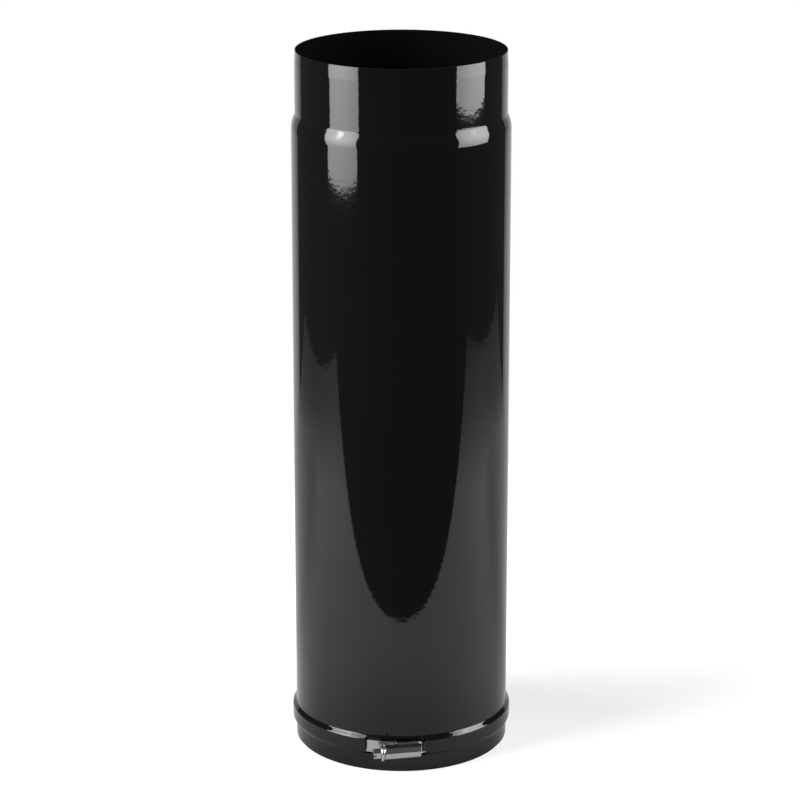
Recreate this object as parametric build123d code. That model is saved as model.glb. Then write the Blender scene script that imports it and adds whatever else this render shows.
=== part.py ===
from build123d import *
import os
from math import asin, atan2, cos, degrees, radians, sin, sqrt, tan

# Telescopic stove pipe, standing on the inner pipe's lower edge.
# +Z is up along the pipes, the origin is on their axis at the lower edge, and the clip faces -Y.

# Driving dimensions, in millimetres and degrees

# Sheet of both pipes
SHEET = 0.8
BARREL_BORE = 150.0
OUTER_LENGTH = 500.0

# Spigot at the top of the outer pipe
SPIGOT_DIAMETER = 146.4
SPIGOT_LENGTH = 44.0
SHOULDER_HEIGHT = 6.5
SHOULDER_ROLL_SETBACK = 4.2
LIP_LENGTH = 9.0
LIP_INSET = 0.45

# Skirt and bead at the bottom of the outer pipe
SKIRT_HEIGHT = 10.7
BEAD_DEPTH = 2.5
BEAD_RISE = 3.0
BEAD_FALL = 2.8
BEAD_ROLL = 1.8

# Window through the bead, around the clip
WINDOW_HEAD_PLAY = 6.1
WINDOW_FAR_PLAY = 2.9
WINDOW_SILL = 0.3
WINDOW_PLAY = 2.0
WINDOW_CORNER = 1.2

# Inner pipe
SLIDE_CLEARANCE = 0.4
INNER_PROUD = 1.5

# Clip band
BAND_WIDTH = 9.0
BAND_THICKNESS = 0.8
BAND_CLEARANCE = 0.3
BAND_START = 4.5
RAMP_START = 2.5
RAMP_LEAD = 1.5
RAMP_TOP = 2.2
RAMP_BEND = 4.0
TAIL_REACH = 20.0
SLOT_PITCH = 3.0
SLOT_LENGTH = 6.2
SLOT_WIDTH = 1.3
SLOT_LEAN = 8.0
SLOT_COUNT = 16

# Clip saddle
SADDLE_THICKNESS = 0.9
SADDLE_FOOT_START = 22.0
SADDLE_FOOT_END = 30.0
SADDLE_FOOT_WIDTH = 7.0
SADDLE_BEND = 5.0
SEAT_GAP = 0.1
TAIL_GAP = 0.05

# Clip housing
CLIP_ANGLE = 11.3
CLIP_SEAT = 0.4
HOUSING_WALL = 0.7
HOUSING_PLAY = 0.4
HOUSING_START = 2.8
HOUSING_LENGTH = 25.7
CHANNEL_LENGTH = 16.0
CHANNEL_DEPTH = 0.3
CHANNEL_HEIGHT = 2.3
CHANNEL_SLOPE = 1.1
CHANNEL_BEND = 0.3

# Worm screw
WORM_DIAMETER = 7.2
WORM_CORE = 5.4
WORM_PITCH = 3.0
WORM_START = 3.8
THREAD_ROOT = 1.9
THREAD_CREST = 0.9
THREAD_SINK = 0.2
TAIL_CLEARANCE = 0.15
COVER_CLEARANCE = 0.25
NECK_CLEARANCE = 0.08
NECK_PLAY = 0.3
FLANGE_DIAMETER = 10.8
FLANGE_THICKNESS = 2.2
FLANGE_CHAMFER = 0.5
HEX_ACROSS_FLATS = 7.0
HEX_HEIGHT = 5.3
HEX_TURN = 25.0
HEX_CHAMFER = 0.5
DRIVE_SLOT_WIDTH = 1.2
DRIVE_SLOT_DEPTH = 1.8
DRIVE_SLOT_TURN = -30.0

# Radii that the pieces share
barrel_in = BARREL_BORE / 2
barrel_out = barrel_in + SHEET
bead_out = barrel_out + BEAD_DEPTH
spigot_out = SPIGOT_DIAMETER / 2
inner_out = barrel_in - SLIDE_CLEARANCE
inner_in = inner_out - SHEET
band_in = inner_out + BAND_CLEARANCE
band_out = band_in + BAND_THICKNESS

# Heights on the outer pipe
outer_low = INNER_PROUD
outer_top = outer_low + OUTER_LENGTH
skirt_top = outer_low + SKIRT_HEIGHT
face_low = skirt_top + BEAD_RISE
face_top = face_low + BAND_WIDTH
barrel_low = face_top + BEAD_FALL
spigot_low = outer_top - SPIGOT_LENGTH
shoulder_low = spigot_low - SHOULDER_HEIGHT
shoulder_turn = atan2(abs(barrel_out - spigot_out), SHOULDER_HEIGHT)
shoulder_roll = SHOULDER_ROLL_SETBACK / tan(shoulder_turn / 2)
inner_top = shoulder_low - SHOULDER_ROLL_SETBACK

# Section of the clip: distances outward from the band where the housing's far end touches it
channel_half = BAND_WIDTH / 2 + HOUSING_PLAY
housing_half = channel_half + HOUSING_WALL
saddle_top = SEAT_GAP + SADDLE_THICKNESS
tail_low = saddle_top + TAIL_GAP
tail_top = tail_low + BAND_THICKNESS
worm_out = WORM_DIAMETER / 2
core_out = WORM_CORE / 2
screw_axis = tail_top + TAIL_CLEARANCE + worm_out
arch_in = worm_out + COVER_CLEARANCE
arch_out = arch_in + HOUSING_WALL
visor_low = CHANNEL_HEIGHT + HOUSING_WALL

# Stations along the clip, from the tangent point towards the screw's head
housing_end = HOUSING_START + HOUSING_LENGTH
channel_end = HOUSING_START + CHANNEL_LENGTH
thread_end = TAIL_REACH
flange_start = housing_end + NECK_PLAY
hex_start = flange_start + FLANGE_THICKNESS
hex_end = hex_start + HEX_HEIGHT

# The clip's own frame: X towards the screw's head, Z outward, at the band's tangent point
window_low = skirt_top + WINDOW_SILL
clip_height = window_low + CLIP_SEAT + housing_half
clip_lean = radians(CLIP_ANGLE)
clip_out = Vector(sin(clip_lean), -cos(clip_lean), 0)
clip_head = Vector(-cos(clip_lean), -sin(clip_lean), 0)
clip_origin = clip_out * band_out + Vector(0, 0, clip_height)
clip_plane = Plane(origin=clip_origin, x_dir=clip_head, z_dir=clip_out)

# Sides of the window, from the tangent point and from the end of the screw's head
head_tip = clip_origin + clip_head * hex_end + clip_out * screw_axis
window_left = head_tip.X - WINDOW_HEAD_PLAY
window_right = clip_origin.X + WINDOW_FAR_PLAY
window_height = 2 * housing_half + WINDOW_PLAY


def rolled_sheet(outline, thickness, side):
    """Section of a sheet of even thickness, laid on one side of an open outline."""
    return make_face(outline.offset_2d(thickness, kind=Kind.INTERSECTION, side=side).edges())


def make_outer_pipe():
    """Barrel, shoulder, spigot, bead and skirt, rolled as one sheet, with the window cut."""
    skirt_corner = (barrel_out, skirt_top)
    barrel_corner = (barrel_out, barrel_low)
    spigot_corner = (spigot_out, spigot_low)
    outline = Line((barrel_out, outer_low), skirt_corner)
    outline += FilletPolyline(
        skirt_corner,
        (bead_out, face_low),
        (bead_out, face_top),
        barrel_corner,
        radius=BEAD_ROLL,
    )
    outline += FilletPolyline(
        barrel_corner,
        (barrel_out, shoulder_low),
        spigot_corner,
        radius=shoulder_roll,
    )
    outline += Polyline(
        spigot_corner,
        (spigot_out, outer_top - LIP_LENGTH),
        (spigot_out - LIP_INSET, outer_top),
    )
    section = Plane.XZ * rolled_sheet(outline.wire(), SHEET, Side.LEFT)
    pipe = revolve(section, Axis.Z)
    window = Box(
        window_right - window_left,
        bead_out,
        window_height,
        align=(Align.MIN, Align.MAX, Align.MIN),
    )
    window = fillet(window.edges().filter_by(Axis.Y), WINDOW_CORNER)
    return pipe - Pos(window_left, -barrel_out / 2, window_low) * window


def make_inner_pipe():
    """Plain tube that slides in the barrel, its top below the shoulder's roll."""
    section = Pos(inner_in, 0) * Rectangle(SHEET, inner_top, align=(Align.MIN, Align.MIN))
    return revolve(Plane.XZ * section, Axis.Z)


def make_clip_band():
    """Slotted strip: once round the inner pipe, then up a ramp and under the worm."""
    middle = (0, -band_out)
    start_angle = 90 - degrees(atan2(BAND_START, band_in))
    end_angle = 90 + degrees(atan2(RAMP_START, band_in))
    ring = CenterArc(middle, band_in, start_angle, end_angle - start_angle - 360)
    ramp_foot = ring @ 1
    path = ring + FilletPolyline(
        ramp_foot,
        ramp_foot + (ring % 1) * RAMP_LEAD,
        (RAMP_TOP, tail_low),
        (TAIL_REACH, tail_low),
        radius=RAMP_BEND,
    )
    path = path.wire()
    strip = Plane.XZ * rolled_sheet(path, BAND_THICKNESS, Side.LEFT)
    band = extrude(strip, BAND_WIDTH / 2, both=True)
    slot = Rot(0, SLOT_LEAN, 0) * Box(SLOT_LENGTH, 4 * BAND_THICKNESS, SLOT_WIDTH)
    for index in range(SLOT_COUNT):
        station = path.length - (index + 1) * SLOT_PITCH
        place = path.location_at(station, PositionMode.LENGTH, x_dir=(0, 0, 1))
        band -= Plane.XZ * place * slot
    return clip_plane * band


def make_clip_saddle():
    """Tongue under the tail: flat below the worm, then down to a foot on the band."""
    foot_radius = band_out + SEAT_GAP
    start_angle = asin(SADDLE_FOOT_START / foot_radius)
    end_angle = asin(SADDLE_FOOT_END / foot_radius)
    foot = CenterArc(
        (0, -band_out),
        foot_radius,
        90 - degrees(start_angle),
        degrees(start_angle - end_angle),
    )
    path = foot + FilletPolyline(
        (BAND_START, SEAT_GAP),
        (foot_radius * tan(start_angle / 2), SEAT_GAP),
        foot @ 0,
        radius=SADDLE_BEND,
    )
    strip = Plane.XZ * rolled_sheet(path.wire(), SADDLE_THICKNESS, Side.LEFT)
    saddle = extrude(strip, channel_half, both=True)
    foot_length = SADDLE_FOOT_END - channel_end
    trim = Box(2 * foot_length, channel_half, 4 * screw_axis, align=(Align.MIN, Align.MIN, Align.CENTER))
    trim = Pos(channel_end, SADDLE_FOOT_WIDTH / 2, 0) * trim
    return clip_plane * (saddle - trim - mirror(trim, Plane.XZ))


def make_clip_housing():
    """Pressed cover: a channel over the tail, an arch over the worm, and a lip in the screw's neck."""
    flank = [
        (housing_half, -CHANNEL_DEPTH),
        (housing_half, CHANNEL_HEIGHT),
        (arch_out, CHANNEL_HEIGHT + CHANNEL_SLOPE),
        (arch_out, screw_axis),
    ]
    right = FilletPolyline(*flank, radius=CHANNEL_BEND + HOUSING_WALL)
    crown = CenterArc((0, screw_axis), arch_out, 0, 180)
    left = mirror(right, Plane.YZ)
    section = rolled_sheet(Wire((right + crown + left).edges()), HOUSING_WALL, Side.LEFT)
    cover = extrude(Plane.YZ * section, HOUSING_LENGTH)
    visor_length = housing_end - channel_end
    notch = Box(visor_length, 3 * housing_half, 2 * visor_low, align=(Align.MAX, Align.CENTER, Align.CENTER))
    cover -= Pos(HOUSING_LENGTH, 0, 0) * notch
    neck_hole = core_out + NECK_CLEARANCE
    lip = Pos(0, screw_axis) * Circle(arch_out)
    lip -= Pos(0, visor_low) * Rectangle(2 * arch_out, 2 * arch_out, align=(Align.CENTER, Align.MAX))
    lip -= Pos(0, screw_axis) * Circle(neck_hole)
    lip -= Pos(0, screw_axis) * Rectangle(2 * neck_hole, 2 * arch_out, align=(Align.CENTER, Align.MAX))
    cover += Pos(HOUSING_LENGTH - HOUSING_WALL, 0, 0) * extrude(Plane.YZ * lip, HOUSING_WALL)
    return clip_plane * Pos(HOUSING_START, 0, 0) * cover


def make_worm_screw():
    """Worm with its helical thread, neck, flange and slotted hexagon head, turned about Z."""
    core = Pos(0, 0, WORM_START) * Cylinder(
        core_out,
        flange_start - WORM_START,
        align=(Align.CENTER, Align.CENTER, Align.MIN),
    )
    thread_length = thread_end - WORM_START - THREAD_ROOT
    helix = Helix(WORM_PITCH, thread_length, core_out)
    tooth = Polygon(
        (-THREAD_SINK, -THREAD_ROOT / 2),
        (worm_out - core_out, -THREAD_CREST / 2),
        (worm_out - core_out, THREAD_CREST / 2),
        (-THREAD_SINK, THREAD_ROOT / 2),
        align=None,
    )
    tooth = Plane(origin=helix @ 0, x_dir=(1, 0, 0), z_dir=helix % 0) * tooth
    thread = Pos(0, 0, WORM_START + THREAD_ROOT / 2) * sweep(tooth, path=helix, is_frenet=True)
    flange = Cylinder(FLANGE_DIAMETER / 2, FLANGE_THICKNESS, align=(Align.CENTER, Align.CENTER, Align.MIN))
    flange = chamfer(flange.edges().filter_by(GeomType.CIRCLE), FLANGE_CHAMFER)
    outline = RegularPolygon(HEX_ACROSS_FLATS / 2, 6, major_radius=False)
    hexagon = extrude(outline, HEX_HEIGHT)
    corner = HEX_ACROSS_FLATS / sqrt(3)
    dome = Cylinder(corner, HEX_HEIGHT, align=(Align.CENTER, Align.CENTER, Align.MIN))
    dome = chamfer(dome.edges().group_by(Axis.Z)[-1], HEX_CHAMFER)
    drive_slot = Pos(0, 0, HEX_HEIGHT) * Box(
        2 * HEX_ACROSS_FLATS,
        DRIVE_SLOT_WIDTH,
        2 * DRIVE_SLOT_DEPTH,
    )
    head = (hexagon & dome) - Rot(0, 0, DRIVE_SLOT_TURN) * drive_slot
    screw = core + thread + Pos(0, 0, flange_start) * flange + Pos(0, 0, hex_start) * head
    along_clip = Plane(origin=(0, 0, screw_axis), x_dir=(0, 0, 1), z_dir=(1, 0, 0))
    return clip_plane * along_clip * Rot(0, 0, HEX_TURN) * screw


PIECES = {
    "outer_pipe": make_outer_pipe,
    "inner_pipe": make_inner_pipe,
    "clip_band": make_clip_band,
    "clip_saddle": make_clip_saddle,
    "clip_housing": make_clip_housing,
    "worm_screw": make_worm_screw,
}

os.makedirs("parts", exist_ok=True)
for name, make in PIECES.items():
    export_step(make(), f"parts/{name}.step")
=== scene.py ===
import logging
import math
from dataclasses import dataclass
from enum import Enum

import bpy
import numpy as np
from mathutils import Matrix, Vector


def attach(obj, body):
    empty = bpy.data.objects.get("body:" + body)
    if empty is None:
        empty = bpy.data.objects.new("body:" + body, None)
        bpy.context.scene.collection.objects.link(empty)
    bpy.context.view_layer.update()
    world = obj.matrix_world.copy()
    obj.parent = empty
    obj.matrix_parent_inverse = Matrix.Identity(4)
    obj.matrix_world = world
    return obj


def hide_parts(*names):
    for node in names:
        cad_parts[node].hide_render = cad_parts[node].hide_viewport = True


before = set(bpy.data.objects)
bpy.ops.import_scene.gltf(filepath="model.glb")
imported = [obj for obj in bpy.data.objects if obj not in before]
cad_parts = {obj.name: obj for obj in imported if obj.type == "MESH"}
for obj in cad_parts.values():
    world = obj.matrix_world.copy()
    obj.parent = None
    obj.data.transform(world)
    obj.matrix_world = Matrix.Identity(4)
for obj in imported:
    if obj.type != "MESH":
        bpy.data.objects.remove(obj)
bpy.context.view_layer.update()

Array = np.ndarray
MM = 0.001
log = logging.getLogger("stove_pipe")


class Body(Enum):
    """The rigid bodies that the pieces ride on."""

    INNER = "inner"
    OUTER = "outer"
    SCREW = "screw"


class Slot(Enum):
    """The record's material slots."""

    ENAMEL = "black_enamel"
    STEEL = "clip_steel"


class Rays(Enum):
    """Kinds of ray that may see a stage card."""

    ALL_BUT_CAMERA = "all but camera"
    EVERY = "every"


# Outlines and grids


def rounded(corners: list[tuple[float, float]], radii: list[float], steps: int = 8) -> Array:
    """Rounds the inner corners of an open outline.

    Each corner becomes an arc that is tangent to both of its sides: it starts a set-back of
    radius * tan(turn / 2) before the corner and sweeps the corner's turn about its own centre.

    Args:
        corners: Points of the outline, in millimetres.
        radii: Radius at each inner corner.
        steps: Pieces that each arc is divided into.

    Returns:
        Points of the rounded outline, one row each.
    """
    points = np.asarray(corners, float)
    radius = np.asarray(radii, float)[:, None]
    sides = np.diff(points, axis=0)
    sides = sides / np.linalg.norm(sides, axis=1, keepdims=True)
    into, away = sides[:-1], sides[1:]
    cross = into[:, 0] * away[:, 1] - into[:, 1] * away[:, 0]
    turn = np.arctan2(cross, np.sum(into * away, axis=1))[:, None]
    left = np.stack([-into[:, 1], into[:, 0]], axis=1) * np.sign(turn)
    start = points[1:-1] - into * radius * np.tan(np.abs(turn) / 2)
    centre = start + left * radius
    sweep = np.abs(turn) * np.linspace(0, 1, steps + 1)[None, :]
    arc = (
        centre[:, None, :]
        - left[:, None, :] * (radius * np.cos(sweep))[:, :, None]
        + into[:, None, :] * (radius * np.sin(sweep))[:, :, None]
    )
    return np.concatenate([points[:1], arc.reshape(-1, 2), points[-1:]])


def spaced(low: float, high: float, step: float) -> Array:
    """Evenly spaced values from low to high, no further apart than step."""
    return np.linspace(low, high, max(2, math.ceil((high - low) / step) + 1))


def merged(*values: Array, gap: float = 0.02) -> Array:
    """All the values in order, without those that lie closer than gap to the one before."""
    line = np.sort(np.concatenate(values))
    return line[np.concatenate([[True], np.diff(line) > gap])]


def stations(line: Array) -> Array:
    """Distance along a line of points, from its first point."""
    return np.concatenate([[0.0], np.cumsum(np.linalg.norm(np.diff(line, axis=0), axis=1))])


def along(line: Array, at: Array) -> Array:
    """Points at the given distances along a line of points, worked out by linear steps."""
    length = stations(line)
    return np.stack([np.interp(at, length, line[:, k]) for k in range(line.shape[1])], axis=-1)


def grid_quads(rows: int, columns: int, wrap: bool, keep: Array | None = None) -> Array:
    """Corner indices of a grid's cells.

    Args:
        rows: Rows of points.
        columns: Points in a row.
        wrap: Whether the last column joins the first.
        keep: Which cells stay, or None for all.

    Returns:
        Four indices for each cell, round the side that the columns and rows turn to the front.
    """
    index = np.arange(rows * columns).reshape(rows, columns)
    following = np.roll(index, -1, axis=1)
    width = columns if wrap else columns - 1
    cells = np.stack([index[:-1], following[:-1], following[1:], index[1:]], axis=-1)[:, :width]
    return cells[keep] if keep is not None else cells.reshape(-1, 4)


def mesh_piece(name: str, points: Array, faces: list[list[int]]) -> bpy.types.Object:
    """Puts points and faces into a new smooth-shaded object at the origin.

    Args:
        name: Name of the piece.
        points: Points in millimetres.
        faces: Corner indices of each face.

    Returns:
        The new object, linked to the scene.
    """
    mesh = bpy.data.meshes.new(name)
    mesh.from_pydata((points.reshape(-1, 3) * MM).tolist(), [], faces)
    mesh.validate()
    mesh.polygons.foreach_set("use_smooth", np.ones(len(mesh.polygons), bool))
    mesh.update()
    piece = bpy.data.objects.new(name, mesh)
    bpy.context.scene.collection.objects.link(piece)
    return piece


def drop_loose(points: Array, quads: Array) -> tuple[Array, list[list[int]]]:
    """Leaves out the points that no face uses and renumbers the faces."""
    used, renumbered = np.unique(quads, return_inverse=True)
    return points.reshape(-1, 3)[used], renumbered.reshape(quads.shape).tolist()


def thicken(piece: bpy.types.Object, thickness: float, outward: bool) -> None:
    """Gives a sheet its thickness, in millimetres, on one side.

    Args:
        piece: The sheet.
        thickness: Thickness of the wall.
        outward: Whether the wall grows along the faces' normals or against them.
    """
    wall = piece.modifiers.new("wall", "SOLIDIFY")
    wall.thickness = thickness * MM
    wall.offset = 1.0 if outward else -1.0
    wall.use_even_offset = True


def soften(piece: bpy.types.Object, width: float, angle: float = 50.0, segments: int = 2) -> None:
    """Rounds a piece's sharp edges.

    Args:
        piece: The piece.
        width: Width of the rounding, in millimetres.
        angle: Edges that turn by more than this, in degrees, are rounded.
        segments: Steps across the rounding.
    """
    edge = piece.modifiers.new("edge", "BEVEL")
    edge.width = width * MM
    edge.segments = segments
    edge.limit_method = "ANGLE"
    edge.angle_limit = math.radians(angle)
    edge.harden_normals = True


def place(piece: bpy.types.Object, node: str, body: Body, slot: Slot, finish: bpy.types.Material) -> None:
    """Dresses a piece and seats it in the frame in place of a CAD node.

    Args:
        piece: The new piece.
        node: The CAD node that it stands for.
        body: The body that it rides on.
        slot: The record's slot that its finish comes from; not used.
        finish: Its material.
    """
    piece.data.materials.append(finish)
    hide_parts(node)
    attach(piece, body.value)
    log.info("%s stands for %s on body %s", piece.name, node, body.value)


# Finishes


class Value:
    """A node's output that takes part in sums: each operator adds one Math node."""

    def __init__(self, tree: "Shader", socket: bpy.types.NodeSocket) -> None:
        """Wraps a socket of a shader."""
        self.tree = tree
        self.socket = socket

    def _math(self, operation: str, *terms: "Value | float") -> "Value":
        """Adds a Math node for an operation on the terms."""
        return self.tree.node("ShaderNodeMath", {"operation": operation}, dict(enumerate(terms)))

    def __add__(self, other: "Value | float") -> "Value":
        """This plus other."""
        return self._math("ADD", self, other)

    __radd__ = __add__

    def __sub__(self, other: "Value | float") -> "Value":
        """This less other."""
        return self._math("SUBTRACT", self, other)

    def __rsub__(self, other: float) -> "Value":
        """Other less this."""
        return self._math("SUBTRACT", other, self)

    def __mul__(self, other: "Value | float") -> "Value":
        """This times other."""
        return self._math("MULTIPLY", self, other)

    __rmul__ = __mul__

    def larger(self, other: "Value | float") -> "Value":
        """The larger of this and other."""
        return self._math("MAXIMUM", self, other)


class Shader:
    """A material's or world's node tree, emptied and ready to be filled."""

    def __init__(self, owner: bpy.types.Material | bpy.types.World) -> None:
        """Turns on the owner's nodes and clears them."""
        owner.use_nodes = True
        self.nodes = owner.node_tree.nodes
        self.links = owner.node_tree.links
        self.nodes.clear()

    def node(self, kind: str, settings: dict, inputs: dict, output: int | str = 0) -> Value:
        """Adds a node.

        Args:
            kind: The node's type.
            settings: Its properties, which are set first.
            inputs: Values or links of its sockets, by name or number.
            output: The output to hand back.

        Returns:
            The chosen output.
        """
        made = self.nodes.new(kind)
        for key, setting in settings.items():
            setattr(made, key, setting)
        for key, given in inputs.items():
            if isinstance(given, Value):
                self.links.new(given.socket, made.inputs[key])
            else:
                made.inputs[key].default_value = given
        return Value(self, made.outputs[output] if made.outputs else None)

    def ranged(self, value: Value, start: float, end: float, first: float, last: float) -> Value:
        """A smooth step from first to last as the value goes from start to end."""
        return self.node(
            "ShaderNodeMapRange",
            {"interpolation_type": "SMOOTHERSTEP"},
            {"Value": value, "From Min": start, "From Max": end, "To Min": first, "To Max": last},
        )

    def distance(self, place: Value, point: tuple[float, float, float]) -> Value:
        """Distance of a place from a point."""
        return self.node("ShaderNodeVectorMath", {"operation": "DISTANCE"}, {0: place, 1: point}, "Value")

    def noise(self, place: Value, scale: float, detail: float = 2.0, roughness: float = 0.5) -> Value:
        """Noise from 0 to 1 at a place, with the scale in repeats per metre."""
        return self.node(
            "ShaderNodeTexNoise",
            {"noise_dimensions": "3D"},
            {"Vector": place, "Scale": scale, "Detail": detail, "Roughness": roughness},
            "Fac",
        )

    def stretch(self, place: Value, factors: tuple[float, float, float]) -> Value:
        """The place with each axis multiplied by its own factor."""
        return self.node("ShaderNodeVectorMath", {"operation": "MULTIPLY"}, {0: place, 1: factors})

    def mix(self, share: Value, first: tuple, second: tuple) -> Value:
        """A colour between two colours."""
        return self.node(
            "ShaderNodeMix",
            {"data_type": "RGBA"},
            {"Factor": share, 6: (*first, 1.0), 7: (*second, 1.0)},
            2,
        )

    def bump(self, height: Value, distance: float) -> Value:
        """A normal that is tilted by a height, given in units of distance in metres."""
        return self.node("ShaderNodeBump", {}, {"Height": height, "Distance": distance, "Strength": 1.0})

    def output(self, kind: str, shader: Value) -> None:
        """Joins a shader to the material's or the world's output."""
        self.node(kind, {}, {"Surface": shader})


@dataclass(frozen=True)
class Enamel:
    """Gloss black vitreous enamel fired on sheet steel.

    Attributes:
        name: Name of the material.
        thin: Colour where the coat is thin.
        thick: Colour where the coat is thick.
        gloss: Roughness of the clean glaze.
        haze: Roughness that handling adds in places.
        index: Refractive index of the glaze.
        sag: Depth of the sheet's broad waves, in metres.
        peel: Depth of the fine fired texture, in metres.
    """

    name: str = "black_enamel_gloss"
    thin: tuple[float, float, float] = (0.0042, 0.0042, 0.0044)
    thick: tuple[float, float, float] = (0.0026, 0.0026, 0.0028)
    gloss: float = 0.025
    haze: float = 0.04
    index: float = 1.42
    sag: float = 0.00008
    peel: float = 0.000014

    def material(self) -> bpy.types.Material:
        """Builds the glaze.

        Broad noise, drawn out along the pipe, tilts the mirror as rolled sheet does; fine noise gives the
        fired surface its slight texture; a third noise dulls the gloss a little in patches.

        Returns:
            The finished material.
        """
        made = bpy.data.materials.new(self.name)
        shader = Shader(made)
        spot = shader.node("ShaderNodeTexCoord", {}, {}, "Object")
        waves = shader.noise(shader.stretch(spot, (1.0, 1.0, 0.45)), 13.0, 1.0)
        grain = shader.noise(spot, 320.0, 1.0)
        patches = shader.noise(spot, 9.0, 4.0, 0.6)
        height = waves * (self.sag / self.peel) + grain
        shader.output(
            "ShaderNodeOutputMaterial",
            shader.node(
                "ShaderNodeBsdfPrincipled",
                {},
                {
                    "Base Color": shader.mix(patches, self.thin, self.thick),
                    "Roughness": patches * self.haze + self.gloss,
                    "IOR": self.index,
                    "Normal": shader.bump(height, self.peel),
                },
            ),
        )
        return made


@dataclass(frozen=True)
class ZincPlate:
    """Bright zinc plate on pressed or turned steel.

    Attributes:
        name: Name of the material.
        bright: Colour of the polished plate.
        dull: Colour of the duller plate.
        polish: Least roughness.
        wear: Roughness that the drawing marks add.
        marks: Depth of the drawing marks, in metres.
        grain: Stretch of the drawing marks along the three axes.
    """

    name: str = "bright_zinc_plate"
    bright: tuple[float, float, float] = (0.54, 0.54, 0.53)
    dull: tuple[float, float, float] = (0.42, 0.42, 0.41)
    polish: float = 0.16
    wear: float = 0.18
    marks: float = 0.000004
    grain: tuple[float, float, float] = (0.12, 0.12, 1.0)

    def material(self) -> bpy.types.Material:
        """Builds the plate: cloudy colour, and fine marks drawn out along the clip.

        Returns:
            The finished material.
        """
        made = bpy.data.materials.new(self.name)
        shader = Shader(made)
        spot = shader.node("ShaderNodeTexCoord", {}, {}, "Object")
        clouds = shader.noise(spot, 260.0, 4.0, 0.6)
        lines = shader.noise(shader.stretch(spot, self.grain), 2600.0, 2.0)
        shader.output(
            "ShaderNodeOutputMaterial",
            shader.node(
                "ShaderNodeBsdfPrincipled",
                {},
                {
                    "Base Color": shader.mix(clouds, self.bright, self.dull),
                    "Metallic": 1.0,
                    "Roughness": lines * (self.wear / 2) + clouds * (self.wear / 2) + self.polish,
                    "Normal": shader.bump(lines, self.marks),
                },
            ),
        )
        return made


# Pipes


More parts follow.
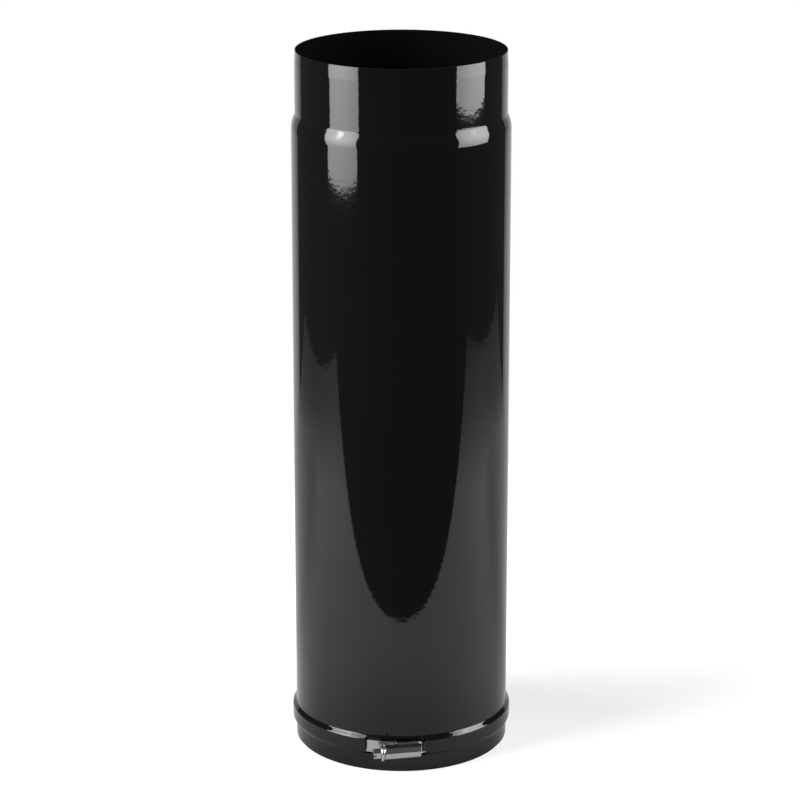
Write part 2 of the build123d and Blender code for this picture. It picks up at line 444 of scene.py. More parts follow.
@dataclass
class OuterPipe:
    """The outer pipe: barrel, shoulder, spigot, bead and skirt, with the window for the clip.

    Attributes:
        sheet: Thickness of the sheet; this and all other sizes are in millimetres.
        low: Height of the skirt's lower edge.
        top: Height of the spigot's rim.
        barrel: Outside radius of the barrel.
        bead: Outside radius of the bead.
        spigot: Outside radius of the spigot.
        rim: Outside radius of the rim, which is drawn in a little.
        skirt_top: Height where the bead starts.
        face_low: Lower end of the bead's face.
        face_top: Upper end of the bead's face.
        barrel_low: Height where the bead ends.
        shoulder_low: Height where the shoulder's two straight sides would meet.
        spigot_low: Height where the spigot starts.
        lip: Height where the rim starts to draw in.
        crease: Radius of the bead's inward bends.
        roll: Radius of the bead's outward bends.
        shoulder_roll: Radius of the shoulder's outward bend.
        shoulder_crease: Radius of the shoulder's inward bend.
        lip_bend: Radius of the bend at the rim.
        window_left: Left side of the window.
        window_right: Right side of the window.
        window_low: Lower side of the window.
        window_top: Upper side of the window.
        window_corner: Radius of the window's corners.
        front: Half-width of the strip in front whose grid lines run straight up.
    """

    sheet: float = 0.8
    low: float = 1.5
    top: float = 501.5
    barrel: float = 75.8
    bead: float = 78.3
    spigot: float = 73.2
    rim: float = 72.75
    skirt_top: float = 12.2
    face_low: float = 15.2
    face_top: float = 24.2
    barrel_low: float = 27.0
    shoulder_low: float = 451.0
    spigot_low: float = 457.5
    lip: float = 492.5
    crease: float = 1.6
    roll: float = 1.8
    shoulder_roll: float = 21.8
    shoulder_crease: float = 4.2
    lip_bend: float = 15.0
    window_left: float = -25.77
    window_right: float = 17.73
    window_low: float = 12.5
    window_top: float = 25.7
    window_corner: float = 1.2
    front: float = 46.0

    def outline(self) -> Array:
        """Outer side of the rolled sheet, from the skirt's edge to the rim, as radius and height."""
        return rounded(
            [
                (self.barrel, self.low),
                (self.barrel, self.skirt_top),
                (self.bead, self.face_low),
                (self.bead, self.face_top),
                (self.barrel, self.barrel_low),
                (self.barrel, self.shoulder_low),
                (self.spigot, self.spigot_low),
                (self.spigot, self.lip),
                (self.rim, self.top),
            ],
            [
                self.crease,
                self.roll,
                self.roll,
                self.crease,
                self.shoulder_roll,
                self.shoulder_crease,
                self.lip_bend,
            ],
        )

    def window_distance(self, x: Array, z: Array) -> Array:
        """Distance from the window's edge, below nought inside it.

        The distance to a rounded rectangle: that to the rectangle drawn in by the corner's radius, less it.

        Args:
            x: Places across the front.
            z: Heights.

        Returns:
            One distance for each place.
        """
        half = np.array([self.window_right - self.window_left, self.window_top - self.window_low]) / 2
        across = np.abs(x - (self.window_right + self.window_left) / 2) - half[0] + self.window_corner
        up = np.abs(z - (self.window_top + self.window_low) / 2) - half[1] + self.window_corner
        outside = np.hypot(np.maximum(across, 0), np.maximum(up, 0))
        return outside + np.minimum(np.maximum(across, up), 0) - self.window_corner

    def snapped(self, x: Array, z: Array) -> tuple[Array, Array]:
        """Moves places to the nearest point of the window's edge, along the distance's own slope."""
        step = 1e-4
        away = self.window_distance(x, z)
        slope_x = (self.window_distance(x + step, z) - away) / step
        slope_z = (self.window_distance(x, z + step) - away) / step
        return x - away * slope_x, z - away * slope_z

    def build(self, finish: bpy.types.Material) -> bpy.types.Object:
        """Builds the pipe as one sheet with the window left out, then thickens it inwards.

        A point lies at its row's height z and radius r(z). In front its column is a plane x = constant, so
        its angle is asin(x / r); behind, the columns divide the rest of the turn evenly. Cells whose middle
        lies in the window are left out, and the points round the gap are moved onto its rounded edge.

        Args:
            finish: The pipe's material.

        Returns:
            The finished piece.
        """
        outline = self.outline()
        corner = np.linspace(0, self.window_corner, 5)
        near = np.array([0.35, 0.9])
        z = merged(
            outline[:, 1],
            self.low + near,
            self.window_low + corner,
            self.window_low - near[:1],
            self.window_top - corner,
            self.window_top + near,
            spaced(self.window_low + self.window_corner, self.window_top - self.window_corner, 1.2),
            spaced(self.barrel_low + 2, self.shoulder_low - 6, 9.0),
            spaced(self.spigot_low + 2, self.lip - 1, 5.0),
            self.top - near,
            gap=0.05,
        )
        x = merged(
            self.window_left + corner,
            self.window_left - near,
            self.window_right - corner,
            self.window_right + near,
            spaced(-self.front, self.window_left - 2.2, 1.7),
            spaced(self.window_left + 2.2, self.window_right - 2.2, 1.7),
            spaced(self.window_right + 2.2, self.front, 1.7),
            gap=0.05,
        )
        share = np.linspace(0, 1, 162)[1:-1]
        radius = np.interp(z, outline[:, 1], outline[:, 0])
        rows, columns = len(z), len(x) + len(share)
        grid_x = np.broadcast_to(x, (rows, len(x))).copy()
        grid_z = np.broadcast_to(z[:, None], (rows, len(x))).copy()
        middle_x = (grid_x[:-1, :-1] + grid_x[1:, 1:]) / 2
        middle_z = (grid_z[:-1, :-1] + grid_z[1:, 1:]) / 2
        keep = np.ones((rows - 1, columns), bool)
        keep[:, : len(x) - 1] = self.window_distance(middle_x, middle_z) > 0
        gone = np.pad(~keep[:, : len(x) - 1], 1)
        corners_gone = gone[:-1, :-1].astype(int) + gone[1:, :-1] + gone[:-1, 1:] + gone[1:, 1:]
        edge = (corners_gone > 0) & (corners_gone < 4)
        grid_x[edge], grid_z[edge] = self.snapped(grid_x[edge], grid_z[edge])
        grid_r = np.interp(grid_z, outline[:, 1], outline[:, 0])
        front_angle = np.arcsin(grid_x / grid_r)
        last = front_angle[:, -1:]
        back_angle = last + (2 * np.pi - last + front_angle[:, :1]) * share
        angle = np.concatenate([front_angle, back_angle], axis=1)
        reach = np.concatenate([grid_r, np.repeat(radius[:, None], len(share), axis=1)], axis=1)
        height = np.concatenate([grid_z, np.repeat(z[:, None], len(share), axis=1)], axis=1)
        points = np.stack([reach * np.sin(angle), -reach * np.cos(angle), height], axis=-1)
        piece = mesh_piece("outer_pipe_shell", *drop_loose(points, grid_quads(rows, columns, True, keep)))
        thicken(piece, self.sheet, outward=False)
        soften(piece, 0.26)
        place(piece, "outer_pipe", Body.OUTER, Slot.ENAMEL, finish)
        return piece


@dataclass
class InnerPipe:
    """The plain inner pipe that slides in the barrel.

    Attributes:
        sheet: Thickness of the sheet, in millimetres.
        radius: Outside radius.
        top: Height of its upper edge; its lower edge is at nought.
    """

    sheet: float = 0.8
    radius: float = 74.6
    top: float = 446.8

    def build(self, finish: bpy.types.Material) -> bpy.types.Object:
        """Builds the tube: radius constant, rows closer together by its two edges.

        Args:
            finish: The pipe's material.

        Returns:
            The finished piece.
        """
        near = np.array([0.0, 0.35, 0.9])
        z = merged(near, self.top - near, spaced(4.0, self.top - 4.0, 12.0))
        angle = np.linspace(0, 2 * np.pi, 240, endpoint=False)
        height, turn = np.meshgrid(z, angle, indexing="ij")
        points = np.stack([self.radius * np.sin(turn), -self.radius * np.cos(turn), height], axis=-1)
        piece = mesh_piece("inner_pipe_tube", points, grid_quads(len(z), len(angle), True).tolist())
        thicken(piece, self.sheet, outward=False)
        soften(piece, 0.26)
        place(piece, "inner_pipe", Body.INNER, Slot.ENAMEL, finish)
        return piece


# Clip


@dataclass
class WormClip:
    """The worm-drive clip: slotted band, saddle, pressed housing and screw.

    Places on the clip are given as x towards the screw's head, y down and h outward, in millimetres, from the
    point where the housing's plane touches the band.

    Attributes:
        lean: Angle of the clip round the pipe, in degrees.
        height: Height of the clip's middle above the floor.
        band_in: Inside radius of the band.
        band_width: Width of the band.
        band_wall: Thickness of the band.
        band_start: Station where the band's fixed end lies.
        ramp_start: Station where the band leaves its circle.
        ramp_lead: Straight run at the foot of the ramp.
        ramp_top: Station where the ramp meets the tail.
        ramp_bend: Radius of the ramp's bends.
        tail_low: Distance of the tail's inner face from the band.
        tail_reach: Station where the tail ends.
        slot_pitch: Distance between the band's slots.
        slot_length: Length of a slot across the band.
        slot_width: Width of a slot.
        slot_lean: Lean of the slots, in degrees.
        slot_count: Slots in the band.
        saddle_wall: Thickness of the saddle.
        saddle_low: Distance of the saddle's lower face from the band.
        saddle_half: Half-width of the saddle.
        foot_half: Half-width of its foot.
        foot_start: Station where the foot starts.
        foot_end: Station where the foot ends.
        saddle_bend: Radius of the bend above the foot.
        channel_end: Station where the housing's channel ends.
        housing_wall: Thickness of the housing.
        housing_half: Half-width of its channel.
        housing_start: Station where it starts.
        housing_end: Station where it ends.
        channel_low: Distance of the channel's edge from the band.
        channel_top: Distance where the channel's sides end.
        arch_foot: Distance where the arch's sides start.
        arch: Outside radius of the arch.
        visor_low: Distance of the arch's free edge past the channel.
        pressed_bend: Outside radius of the housing's bends.
        screw_axis: Distance of the screw's axis from the band.
        neck_hole: Radius of the neck's opening in the housing's end.
    """

    lean: float = 11.3
    height: float = 18.5
    band_in: float = 74.9
    band_width: float = 9.0
    band_wall: float = 0.8
    band_start: float = 4.5
    ramp_start: float = 2.5
    ramp_lead: float = 1.5
    ramp_top: float = 2.2
    ramp_bend: float = 4.0
    tail_low: float = 1.05
    tail_reach: float = 20.0
    slot_pitch: float = 3.0
    slot_length: float = 6.2
    slot_width: float = 1.3
    slot_lean: float = 8.0
    slot_count: int = 16
    saddle_wall: float = 0.9
    saddle_low: float = 0.1
    saddle_half: float = 4.9
    foot_half: float = 3.5
    foot_start: float = 22.0
    foot_end: float = 30.0
    saddle_bend: float = 5.0
    channel_end: float = 18.8
    housing_wall: float = 0.7
    housing_half: float = 5.6
    housing_start: float = 2.8
    housing_end: float = 28.5
    channel_low: float = -0.3
    channel_top: float = 2.3
    arch_foot: float = 3.4
    arch: float = 4.55
    visor_low: float = 3.0
    pressed_bend: float = 1.0
    screw_axis: float = 5.6
    neck_hole: float = 2.78

    @property
    def band_out(self) -> float:
        """Outside radius of the band."""
        return self.band_in + self.band_wall

    def seated(self, x: Array, y: Array, h: Array) -> Array:
        """Places of the clip in the pipe's frame: origin + x * head + y * down + h * out."""
        lean = math.radians(self.lean)
        out = np.array([math.sin(lean), -math.cos(lean), 0.0])
        head = np.array([-math.cos(lean), -math.sin(lean), 0.0])
        down = np.array([0.0, 0.0, -1.0])
        origin = out * self.band_out - down * self.height
        x, y, h = np.broadcast_arrays(x, y, h)
        return origin + x[..., None] * head + y[..., None] * down + h[..., None] * out

    def band_path(self) -> Array:
        """Inner face of the band, from its fixed end round the pipe, up the ramp and along the tail."""
        start = math.atan2(self.band_start, self.band_in)
        end = 2 * math.pi - math.atan2(self.ramp_start, self.band_in)
        turn = np.linspace(start, end, 260)
        ring = np.stack([self.band_in * np.sin(turn), self.band_in * np.cos(turn) - self.band_out], axis=1)
        ahead = np.array([math.cos(end), -math.sin(end)])
        lead = ring[-1] + ahead * self.ramp_lead
        ramp = rounded(
            [tuple(ring[-1]), tuple(lead), (self.ramp_top, self.tail_low), (self.tail_reach, self.tail_low)],
            [self.ramp_bend, self.ramp_bend],
        )
        return np.concatenate([ring, ramp[1:]])

    def build_band(self, finish: bpy.types.Material) -> bpy.types.Object:
        """Builds the band: its path's stations by places across, with the slots' cells left out.

        Across the slotted stretch the grid leans, station = s + y * tan(lean), so that each slot is one cell
        wide; the lean fades out at both ends of the stretch.

        Args:
            finish: The band's material.

        Returns:
            The finished piece.
        """
        path = self.band_path()
        length = stations(path)[-1]
        half = self.slot_width / 2
        middles = length - self.slot_pitch * np.arange(1, self.slot_count + 1)
        first = middles[-1] - self.slot_pitch
        s = merged(
            spaced(0, first - 2, 2.4),
            np.array([first]),
            middles - half,
            middles + half,
            middles + self.slot_pitch / 2,
            np.array([length]),
        )
        edge = self.band_width / 2
        end = self.slot_length / 2
        y = np.array([-edge, -edge + 0.35, -end, 0.0, end, edge - 0.35, edge])
        fade = np.clip((s - first) / 1.5, 0, 1) * np.clip((length - s) / 2.2, 0, 1)
        station = s[None, :] + y[:, None] * math.tan(math.radians(self.slot_lean)) * fade[None, :]
        place_on = along(path, station)
        points = self.seated(place_on[..., 0], y[:, None], place_on[..., 1])
        middle_s = (s[:-1] + s[1:]) / 2
        middle_y = (y[:-1] + y[1:]) / 2
        in_slot = np.min(np.abs(middle_s[:, None] - middles), axis=1) < half
        keep = ~((np.abs(middle_y) < end)[:, None] & in_slot[None, :])
        quads = grid_quads(len(y), len(s), False, keep)
        piece = mesh_piece("clip_band_strip", *drop_loose(points, quads))
        thicken(piece, self.band_wall, outward=True)
        soften(piece, 0.12)
        place(piece, "clip_band", Body.OUTER, Slot.STEEL, finish)
        return piece

    def build_saddle(self, finish: bpy.types.Material) -> bpy.types.Object:
        """Builds the saddle: a strip along its lower face that narrows to the foot.

        The strip's half-width is that of the channel up to the channel's end and the foot's after it.

        Args:
            finish: The saddle's material.

        Returns:
            The finished piece.
        """
        radius = self.band_out + self.saddle_low
        start, end = math.asin(self.foot_start / radius), math.asin(self.foot_end / radius)
        turn = np.linspace(start, end, 9)
        foot = np.stack([radius * np.sin(turn), radius * np.cos(turn) - self.band_out], axis=1)
        bend = (radius * math.tan(start / 2), self.saddle_low)
        flat = rounded([(self.band_start, self.saddle_low), bend, tuple(foot[0])], [self.saddle_bend])
        path = np.concatenate([flat, foot[1:]])
        step = self.channel_end - self.band_start
        s = merged(stations(path), np.array([step - 0.3, step, step + 0.04, step + 0.4]), gap=0.01)
        half = np.where(s > step + 0.02, self.foot_half, self.saddle_half)
        share = np.array([-1.0, -0.9, 0.0, 0.9, 1.0])
        place_on = along(path, s)
        points = self.seated(place_on[None, :, 0], share[:, None] * half[None, :], place_on[None, :, 1])
        piece = mesh_piece("clip_saddle_tongue", points, grid_quads(len(share), len(s), False).tolist())
        thicken(piece, self.saddle_wall, outward=True)
        soften(piece, 0.15)
        place(piece, "clip_saddle", Body.OUTER, Slot.STEEL, finish)
        return piece

    def build_housing(self, finish: bpy.types.Material) -> bpy.types.Object:
        """Builds the housing: its section carried along the clip, then turned in at the head's end.

        The section runs up one side of the channel, over the arch and down the other side. At the end the
        section moves in along its own normals to the neck's opening, after a quarter turn of the bend. Past
        the channel the cells below the arch's free edge are left out.

        Args:
            finish: The housing's material.

        Returns:
            The finished piece.
        """
        side = rounded(
            [
                (-self.housing_half, self.channel_low),
                (-self.housing_half, self.channel_top),
                (-self.arch, self.arch_foot),
                (-self.arch, self.screw_axis),
            ],
            [self.pressed_bend, self.pressed_bend],
            5,
        )
        turn = np.linspace(0, np.pi, 33)[1:-1]
        crown = np.stack([-self.arch * np.cos(turn), self.screw_axis + self.arch * np.sin(turn)], axis=1)
        line = np.concatenate([side, crown, side[::-1] * [-1, 1]])
        at = stations(line)
        free = float(np.interp(self.visor_low, side[:, 1], stations(side)))
        at = merged(at, np.array([free, at[-1] - free, 0.4, at[-1] - 0.4]), gap=0.01)
        section = along(line, at)
        ahead = np.gradient(section, at, axis=0)
        normal = np.stack([-ahead[:, 1], ahead[:, 0]], axis=1)
        normal = normal / np.linalg.norm(normal, axis=1, keepdims=True)
        bend = self.pressed_bend
        quarter = np.linspace(0, np.pi / 2, 6)
        depth = self.arch - self.neck_hole
        near = np.array([0.0, 0.3])
        straight = merged(
            self.housing_start + near,
            spaced(self.housing_start + 1.2, self.housing_end - bend, 2.0),
            np.array([self.channel_end, self.channel_end + 0.3]),
        )
        turned_in = self.housing_end - bend + bend * np.sin(quarter)
        x = np.concatenate([straight[:-1], turned_in, [self.housing_end] * 2])
        inset = np.concatenate(
            [np.zeros(len(straight) - 1), bend - bend * np.cos(quarter), [depth - 0.3, depth]]
        )
        y = section[:, None, 0] - normal[:, None, 0] * inset[None, :]
        h = section[:, None, 1] - normal[:, None, 1] * inset[None, :]
        points = self.seated(x[None, :], y, h)
        middle_h = (section[:-1, 1] + section[1:, 1]) / 2
        middle_x = (x[:-1] + x[1:]) / 2
        keep = ~((middle_h < self.visor_low)[:, None] & (middle_x > self.channel_end)[None, :])
        quads = grid_quads(len(at), len(x), False, keep)
        piece = mesh_piece("clip_housing_cover", *drop_loose(points, quads))
        thicken(piece, self.housing_wall, outward=False)
        soften(piece, 0.14)
        place(piece, "clip_housing", Body.OUTER, Slot.STEEL, finish)
        return piece


@dataclass
class WormScrew:
    """The clip's screw: worm, neck, flange and slotted hexagon head, turned from one piece.

    Stations are along the clip, in millimetres, as on the clip itself.

    Attributes:
        core: Radius of the worm's core.
        crest: Radius of the thread's crest.
        pitch: Pitch of the thread.
        start: Station of the worm's end.
        thread_end: Station where the thread ends.
        root_width: Width of the thread at its root.
        crest_width: Width of the thread at its crest.
        flange_start: Station where the flange starts.
        flange: Radius of the flange.
        flange_edge: Rounding of the flange's rim.
        head_start: Station where the hexagon starts.
        head_end: Station where it ends.
        across_flats: Width of the hexagon across its flats.
        head_turn: Turn of the hexagon, in degrees.
        slot_turn: Turn of the slot in the hexagon, in degrees.
        slot_width: Width of the slot.
        slot_depth: Depth of the slot.
    """

    core: float = 2.7
    crest: float = 3.6
    pitch: float = 3.0
    start: float = 3.8
    thread_end: float = 20.0
    root_width: float = 1.9
    crest_width: float = 0.9
    flange_start: float = 28.8
    flange: float = 5.4
    flange_edge: float = 0.75
    head_start: float = 31.0
    head_end: float = 36.3
    across_flats: float = 7.0
    head_turn: float = 25.0
    slot_turn: float = -30.0
    slot_width: float = 1.2
    slot_depth: float = 1.8

    def worm(self) -> tuple[Array, list[list[int]]]:
        """Worm, neck and flange as one turned surface.

        The radius is a function of station and angle: the core, plus a tooth whose height falls from its
        crest to its root with the distance from the helix station = start + pitch * angle / turn.

        Returns:
            Points as station, sideways and outward, and faces.
        """
        cheek = rounded(
            [
                (self.core, self.flange_start - 0.6),
                (self.core, self.flange_start),
                (self.flange, self.flange_start),
                (self.flange, self.head_start),
                (self.core, self.head_start),
            ],
            [0.1, self.flange_edge, self.flange_edge],
            4,
        )
        thread = spaced(self.start, self.thread_end + 0.6, 0.14)
        station = np.concatenate([[self.start], thread, [self.flange_start - 2.0], cheek[:, 1]])
        reach = np.concatenate([[self.core - 0.4], np.full(len(thread) + 1, self.core), cheek[:, 0]])
        angle = np.linspace(0, 2 * np.pi, 72, endpoint=False)
        first = self.start + self.root_width / 2
        lag = station[:, None] - first - self.pitch * angle[None, :] / (2 * np.pi)
        off = np.abs(lag - self.pitch * np.round(lag / self.pitch))
        flank = (self.root_width - self.crest_width) / 2
        tooth = np.clip((self.root_width / 2 - off) / flank, 0, 1)
        ends = np.clip((station - self.start) / 0.8, 0, 1) * np.clip((self.thread_end - station) / 0.8, 0, 1)
        radius = reach[:, None] + (self.crest - self.core) * tooth * ends[:, None]
        points = np.stack(
            [
                np.broadcast_to(station[:, None], radius.shape),
                radius * np.sin(angle),
                radius * np.cos(angle),
            ],
            axis=-1,
        )
        faces = grid_quads(len(station), len(angle), True).tolist()
        count = points.shape[0] * points.shape[1]
        faces.append(list(range(len(angle)))[::-1])
        faces.append(list(range(count - len(angle), count)))
        return points.reshape(-1, 3), faces

    def head(self) -> tuple[Array, list[list[int]]]:
        """Slotted hexagon as a prism on three levels.

        The hexagon's outline, with four more points where the slot's sides cross it, is carried from the
        flange to the slot's floor and on to the head's end. The slot's cells are left out of the upper ring,
        and its floor, its walls and the two lands close it.

        Returns:
            Points as station, sideways and outward, and faces.
        """
        apothem = self.across_flats / 2
        slot = math.radians(self.head_turn + self.slot_turn)
        corners = math.radians(self.head_turn) + np.arange(6) * np.pi / 3
        half = self.slot_width / 2
        nearest = np.round((slot - corners[0] - np.pi / 6) / (np.pi / 3)) * np.pi / 3 + corners[0] + np.pi / 6
        tilt = slot - nearest
        side = np.array([-half, half])
        ahead = (apothem + side * math.sin(tilt)) / math.cos(tilt)
        crossing = np.arctan2(side, ahead) + slot
        span = np.hypot(side, ahead)
        angle = np.concatenate([corners, crossing, crossing + np.pi]) % (2 * np.pi)
        radius = np.concatenate([np.full(6, apothem / math.cos(np.pi / 6)), span, span])
        kind = np.concatenate([np.zeros(6, int), [1, 2, 3, 4]])
        order = np.argsort(angle)
        angle, radius, kind = angle[order], radius[order], kind[order]
        count = len(angle)
        levels = np.array([self.head_start, self.head_end - self.slot_depth, self.head_end])
        points = np.stack(
            [
                np.repeat(levels[:, None], count, axis=1),
                np.repeat((radius * np.sin(angle))[None, :], 3, axis=0),
                np.repeat((radius * np.cos(angle))[None, :], 3, axis=0),
            ],
            axis=-1,
        )
        at = {int(k): int(np.argmax(kind == k)) for k in (1, 2, 3, 4)}
        keep = np.ones((2, count), bool)
        keep[1, [at[1], at[3]]] = False
        faces = grid_quads(3, count, True, keep).tolist()
        top = 2 * count
        floor = [count + at[k] for k in (1, 2, 3, 4)]
        faces.append(list(range(count))[::-1])
        faces.append(floor)
        faces.append([count + at[2], top + at[2], top + at[3], count + at[3]][::-1])
        faces.append([count + at[4], top + at[4], top + at[1], count + at[1]][::-1])
        ring = np.arange(count)
        land = [np.roll(ring, -at[k])[: (at[k + 1 if k < 4 else 1] - at[k]) % count + 1] for k in (2, 4)]
        faces.extend((top + part).tolist() for part in land)
        return points.reshape(-1, 3), faces

    def build(self, clip: WormClip, finish: bpy.types.Material) -> bpy.types.Object:
        """Builds the screw and seats it on the clip's axis.

        Args:
            clip: The clip that carries the screw.
            finish: The screw's material.

        Returns:
            The finished piece.
        """
        shank, shank_faces = self.worm()
        head, head_faces = self.head()
        shift = len(shank)
        local = np.concatenate([shank, head])
        faces = shank_faces + [[corner + shift for corner in face] for face in head_faces]
        points = clip.seated(local[:, 0], -local[:, 1], clip.screw_axis + local[:, 2])
        piece = mesh_piece("worm_screw_turned", points, faces)
        soften(piece, 0.16, angle=40.0)
        place(piece, "worm_screw", Body.SCREW, Slot.STEEL, finish)
        return piece


# Studio


@dataclass(frozen=True)
class SoftBox:
    """An upright soft light that faces the pipe, with a lamp and a tube behind its cloth.

    Attributes:
        name: Name of its card.
        azimuth: Direction of its lower edge from the front, towards +X, in degrees.
        spread: Angle that it covers, in degrees.
        low: Height of its lower edge, in metres.
        high: Height of its upper edge.
        near_lean: Sideways step of the side nearer the camera for each metre of height.
        far_lean: Sideways step of the other side.
        core: Brightness that the lamp adds to the cloth in front of it.
        tube: Brightness that the tube adds.
        strength: Brightness of the cloth up to the lamp.
        fade: Brightness of the cloth at the upper edge.
        distance: Distance from the pipe's axis.
        lamp: Height of the lamp.
        reach: Distance at which the lamp's glow ends.
        tube_height: Height of the tube's middle.
        tube_reach: Distance at which the tube's glow ends, sideways.
        tube_squash: Sideways reach of the tube's glow over its upright reach.
    """

    name: str
    azimuth: float
    spread: float
    low: float
    high: float
    near_lean: float
    far_lean: float
    core: float
    tube: float
    strength: float = 6.2
    fade: float = 5.0
    distance: float = 1.2
    lamp: float = 0.8
    reach: float = 0.85
    tube_height: float = 1.0
    tube_reach: float = 0.13
    tube_squash: float = 0.25

    def build(self) -> bpy.types.Object:
        """Builds the card: a flat strip with leaning sides, brighter about the lamp.

        Returns:
            The card, which every ray but the camera's sees.
        """
        angle = math.radians(self.azimuth)
        out = np.array([math.sin(angle), -math.cos(angle), 0.0])
        across = np.array([math.cos(angle), math.sin(angle), 0.0])
        half = math.copysign(self.distance * math.tan(math.radians(self.spread / 2)), angle)
        foot = out * self.distance + np.array([0.0, 0.0, self.low])
        rise = across * (self.near_lean + self.far_lean) / 2 + np.array([0.0, 0.0, 1.0])
        side, v = np.meshgrid(np.array([-1.0, 1.0]), np.array([0.0, self.high - self.low]), indexing="xy")
        u = side * (half + v * (self.far_lean - self.near_lean) / 2)
        points = foot + u[..., None] * across + v[..., None] * rise
        card = mesh_piece(self.name, points / MM, grid_quads(2, 2, False).tolist())
        made = bpy.data.materials.new(self.name)
        shader = Shader(made)
        spot = shader.node("ShaderNodeTexCoord", {}, {}, "Object")
        squash = (1.0, 1.0, self.tube_squash)
        tube = (foot + rise * (self.tube_height - self.low)) * squash
        lamp = foot + rise * (self.lamp - self.low)
        glow = shader.ranged(shader.distance(spot, tuple(lamp)), 0.0, self.reach, self.core, 0.0)
        near_tube = shader.distance(shader.stretch(spot, squash), tuple(tube))
        glow = glow + shader.ranged(near_tube, 0.0, self.tube_reach, self.tube, 0.0)
        height = shader.node("ShaderNodeSeparateXYZ", {}, {"Vector": spot}, "Z")
        cloth = shader.ranged(height, self.lamp, self.high, self.strength, self.fade)
        shader.output(
            "ShaderNodeOutputMaterial",
            shader.node("ShaderNodeEmission", {}, {"Strength": glow + cloth}),
        )
        return staged(card, made, Rays.ALL_BUT_CAMERA)


def staged(card: bpy.types.Object, finish: bpy.types.Material, seen_by: Rays) -> bpy.types.Object:
    """Dresses a card and sets which rays see it.

    Args:
        card: The card.
        finish: Its material.
        seen_by: The rays that see it.

    Returns:
        The card.
    """
    card.data.materials.append(finish)
    card.visible_camera = seen_by is Rays.EVERY
    log.info("%s is stage", card.name)
    return card


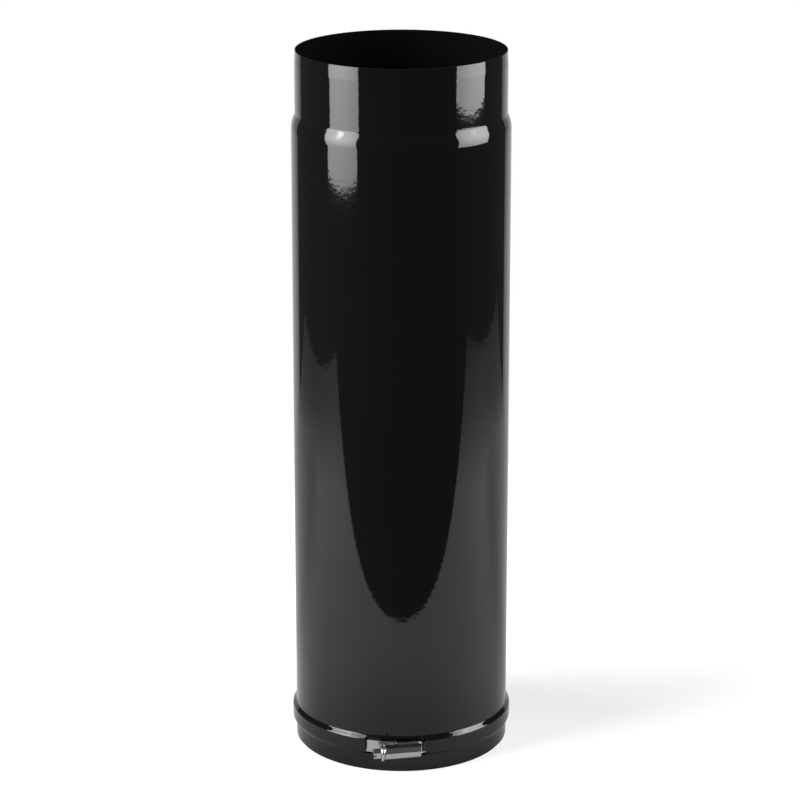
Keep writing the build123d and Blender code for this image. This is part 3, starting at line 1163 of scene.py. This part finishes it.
@dataclass
class Studio:
    """A white table in a dim room, two soft lights, and the camera.

    Attributes:
        table_sides: Places of the table's two ends, in metres.
        table_front: Place of the table's front edge.
        table_back: Place of the table's back edge.
        table_white: Colour of the table away from its painted shade.
        table_far: Colour of the table at its ends, painted darker there in place of the light's falloff.
        fall: Distances from the pipe between which the colour falls to that of the ends, as painted shade.
        behind: Places behind the pipe between which the colour falls half-way, as a painted shadow of the
            pipe.
        foot: How far in front of the pipe's axis the painted shade at its foot is deepest.
        foot_reach: Distance at which that painted shade ends.
        half_shade: How far the colour falls in the painted shadow behind the pipe and the painted shade at
            its foot.
        camera_lift: Light that the camera sees on the table besides what falls on it.
        shade_lift: Light that comes back for the camera where the table is fully shaded.
        mirror_lift: Light that mirrors see there.
        room: Brightness of the room.
        room_half: Half-width of the room.
        back_half: Half-width of the white card behind the pipe.
        back_height: Height of that card.
        lens: Focal length, in millimetres on a sensor 36 mm wide.
        camera: Place of the camera.
        pitch: How far the camera looks down, in degrees.
        lights: The soft lights.
    """

    table_sides: tuple[float, float] = (-1.04, 1.12)
    table_front: float = -0.37
    table_back: float = 0.62
    table_white: float = 0.65
    table_far: float = 0.25
    fall: tuple[float, float] = (0.55, 1.0)
    behind: tuple[float, float] = (-0.02, 0.22)
    foot: float = 0.1
    foot_reach: float = 0.28
    half_shade: float = 0.6
    camera_lift: float = 0.28
    shade_lift: float = 0.6
    mirror_lift: float = 0.15
    room: float = 0.064
    room_half: float = 3.2
    back_half: float = 0.64
    back_height: float = 0.5
    lens: float = 3120.3 / 800 * 36
    camera: tuple[float, float, float] = (-0.0009, -2.102, 0.8978)
    pitch: float = 17.1
    lights: tuple[SoftBox, ...] = (
        SoftBox(
            "soft_light_left",
            azimuth=-62.5,
            spread=34.5,
            low=0.15,
            high=2.4,
            near_lean=-0.04,
            far_lean=-0.22,
            core=8.5,
            tube=14.0,
        ),
        SoftBox(
            "soft_light_right",
            azimuth=78.5,
            spread=38.5,
            low=0.226,
            high=1.35,
            near_lean=0.04,
            far_lean=0.2,
            core=6.0,
            tube=3.0,
        ),
    )

    def seen(self, shader: Shader, *kinds: str) -> Value:
        """One for rays of the given kinds, and nought for others."""
        flags = [shader.node("ShaderNodeLightPath", {}, {}, kind) for kind in kinds]
        whole = flags[0]
        for flag in flags[1:]:
            whole = whole.larger(flag)
        return whole

    def white(self, name: str) -> bpy.types.Material:
        """White card whose colour holds painted shade: darker at its ends, behind the pipe and at its foot.

        The camera sees it as white but for the pipe's shadow: what the colour loses comes back as light for
        the camera's rays alone. Mirrors and glass see a smaller lift.

        Args:
            name: Name of the material.

        Returns:
            The material.
        """
        made = bpy.data.materials.new(name)
        shader = Shader(made)
        spot = shader.node("ShaderNodeTexCoord", {}, {}, "Object")
        far = shader.distance(spot, (0.0, 0.0, 0.0))
        back = shader.node("ShaderNodeSeparateXYZ", {}, {"Vector": spot}, "Y")
        # Painted shade: the colour darkens towards the ends for the light's falloff, behind the pipe as its
        # shadow, and at its foot.
        shade = shader.ranged(far, *self.fall, 0.0, 1.0)
        shade = shade.larger(shader.ranged(back, *self.behind, 0.0, self.half_shade))
        foot = shader.distance(spot, (0.0, -self.foot, 0.0))
        shade = shade.larger(shader.ranged(foot, 0.0, self.foot_reach, self.half_shade, 0.0))
        colour = shader.mix(shade, (self.table_white,) * 3, (self.table_far,) * 3)
        camera = self.seen(shader, "Is Camera Ray")
        mirror = self.seen(shader, "Is Glossy Ray", "Is Transmission Ray")
        lift = camera * (shade * self.shade_lift + self.camera_lift) + mirror * (1 - shade) * self.mirror_lift
        paint = shader.node("ShaderNodeBsdfDiffuse", {}, {"Color": colour})
        glow = shader.node("ShaderNodeEmission", {}, {"Strength": lift})
        shader.output("ShaderNodeOutputMaterial", shader.node("ShaderNodeAddShader", {}, {0: paint, 1: glow}))
        made.cycles.emission_sampling = "NONE"
        return made

    def build_table(self) -> None:
        """Builds the table's flat top and the white card that stands at its back."""
        finish = self.white("studio_white")
        x, y = np.meshgrid(self.table_sides, [self.table_front, self.table_back])
        top = mesh_piece("table_top", np.stack([x, y, np.zeros((2, 2))], axis=-1) / MM, [[0, 1, 3, 2]])
        staged(top, finish, Rays.EVERY)
        x, z = np.meshgrid([-self.back_half, self.back_half], [0.0, self.back_height])
        points = np.stack([x, np.full((2, 2), self.table_back), z], axis=-1)
        back = mesh_piece("back_card", points / MM, [[0, 1, 3, 2]])
        staged(back, finish, Rays.ALL_BUT_CAMERA)

    def build_room(self) -> None:
        """Builds the dim room: a box round everything, and a white world beyond it."""
        x, y, z = np.meshgrid([-1, 1], [-1, 1], [-1, 1], indexing="ij")
        points = np.stack([x, y, z], axis=-1).reshape(-1, 3) * self.room_half / MM
        faces = [[0, 1, 3, 2], [4, 6, 7, 5], [0, 4, 5, 1], [2, 3, 7, 6], [0, 2, 6, 4], [1, 5, 7, 3]]
        room = mesh_piece("room_walls", points, faces)
        made = bpy.data.materials.new("room_grey")
        shader = Shader(made)
        glow = shader.node("ShaderNodeEmission", {}, {"Strength": self.room})
        shader.output("ShaderNodeOutputMaterial", glow)
        made.cycles.emission_sampling = "NONE"
        staged(room, made, Rays.ALL_BUT_CAMERA)
        world = bpy.data.worlds.new("studio")
        bpy.context.scene.world = world
        sky = Shader(world)
        share = self.seen(sky, "Is Camera Ray", "Is Glossy Ray", "Is Transmission Ray")
        strength = share * (1 - self.room) + self.room
        sky.output(
            "ShaderNodeOutputWorld",
            sky.node("ShaderNodeBackground", {}, {"Color": (1.0, 1.0, 1.0, 1.0), "Strength": strength}),
        )

    def build_camera(self) -> None:
        """Sets the camera up in front of the pipe, looking down at it."""
        data = bpy.data.cameras.new("camera")
        data.lens = self.lens
        data.sensor_width = 36.0
        camera = bpy.data.objects.new("camera", data)
        camera.location = self.camera
        camera.rotation_euler = (math.radians(90 - self.pitch), 0.0, 0.0)
        bpy.context.scene.collection.objects.link(camera)
        bpy.context.scene.camera = camera
        log.info("camera at %s with a %.0f mm lens", self.camera, self.lens)

    def build(self) -> None:
        """Builds the table, the room, the lights and the camera, and sets the plain view transform."""
        self.build_camera()
        self.build_table()
        self.build_room()
        for light in self.lights:
            light.build()
        bpy.context.scene.view_settings.view_transform = "Standard"


def main() -> None:
    """Builds the studio, the pipes and the clip in order."""
    logging.basicConfig(level=logging.INFO, format="%(message)s")
    Studio().build()
    enamel = Enamel().material()
    zinc = ZincPlate().material()
    OuterPipe().build(enamel)
    InnerPipe().build(enamel)
    clip = WormClip()
    clip.build_band(zinc)
    clip.build_saddle(zinc)
    clip.build_housing(zinc)
    WormScrew().build(clip, zinc)


if __name__ == "__main__":
    main()
